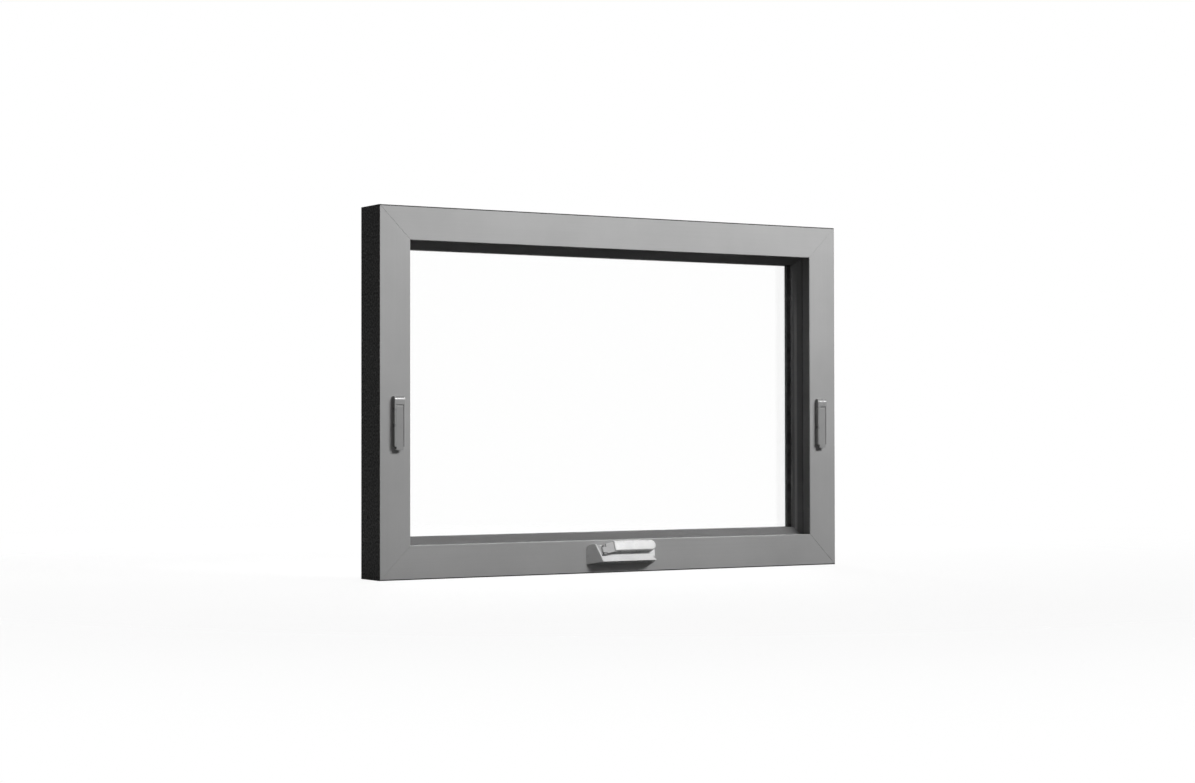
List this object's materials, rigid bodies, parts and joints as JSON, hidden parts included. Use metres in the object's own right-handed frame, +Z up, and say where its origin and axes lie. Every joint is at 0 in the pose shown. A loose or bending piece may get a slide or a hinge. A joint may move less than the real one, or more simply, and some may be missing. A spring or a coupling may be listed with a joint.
{
  "type": "top hung awning window",
  "caption": "Shut top hung awning window: mitred frame, double glazed sash behind bevelled beads, folding crank at the sill and a lever lock on each jamb.",
  "frame": {"origin": "middle of the sill's underside, which sits on the sill of the opening", "axes": "+X along the sill, to the right as seen from the room; +Y from the room to the outside; +Z up"},
  "size_m": [0.9, 0.09, 0.6],
  "materials": {
    "frame_finish": "matte grey",
    "bead_finish": "matte dark grey",
    "glass": "clear",
    "seal_rubber": "matte",
    "spacer_metal": "matte",
    "steel": "brushed",
    "hardware": "satin"
  },
  "bodies": {
    "window": {"frame_head": "frame_finish", "frame_sill": "frame_finish", "frame_left_jamb": "frame_finish", "frame_right_jamb": "frame_finish", "sash_top_rail": "frame_finish", "sash_bottom_rail": "frame_finish", "sash_left_stile": "frame_finish", "sash_right_stile": "frame_finish", "glazing_bead_top": "bead_finish", "glazing_bead_bottom": "bead_finish", "glazing_bead_left": "bead_finish", "glazing_bead_right": "bead_finish", "inner_pane": "glass", "outer_pane": "glass", "inner_glazing_gasket": "seal_rubber", "outer_glazing_gasket": "seal_rubber", "weather_seal": "seal_rubber", "glazing_spacer": "spacer_metal", "left_stay_track": "steel", "left_stay_link": "steel", "left_stay_sash_bar": "steel", "right_stay_track": "steel", "right_stay_link": "steel", "right_stay_sash_bar": "steel", "crank_pin": "steel", "left_lock_pin": "steel", "right_lock_pin": "steel", "operator_base": "hardware", "crank_hub": "hardware", "left_lock_base": "hardware", "right_lock_base": "hardware"},
    "crank": {"crank_arm": "hardware"},
    "left_lock": {"left_lock_lever": "hardware"},
    "right_lock": {"right_lock_lever": "hardware"}
  },
  "joints": [
    {"name": "crank_fold", "type": "hinge", "parent": "window", "child": "crank", "pos_m": [-0.04, -0.04727, 0.0391], "axis": [0, -0.3584, -0.9336], "range_deg": [0, 140]},
    {"name": "left_lock_turn", "type": "hinge", "parent": "window", "child": "left_lock", "pos_m": [-0.4175, -0.0385, 0.2774], "axis": [-1, 0, 0], "range_deg": [0, 90]},
    {"name": "right_lock_turn", "type": "hinge", "parent": "window", "child": "right_lock", "pos_m": [0.4175, -0.0385, 0.2774], "axis": [-1, 0, 0], "range_deg": [0, 90]}
  ]
}
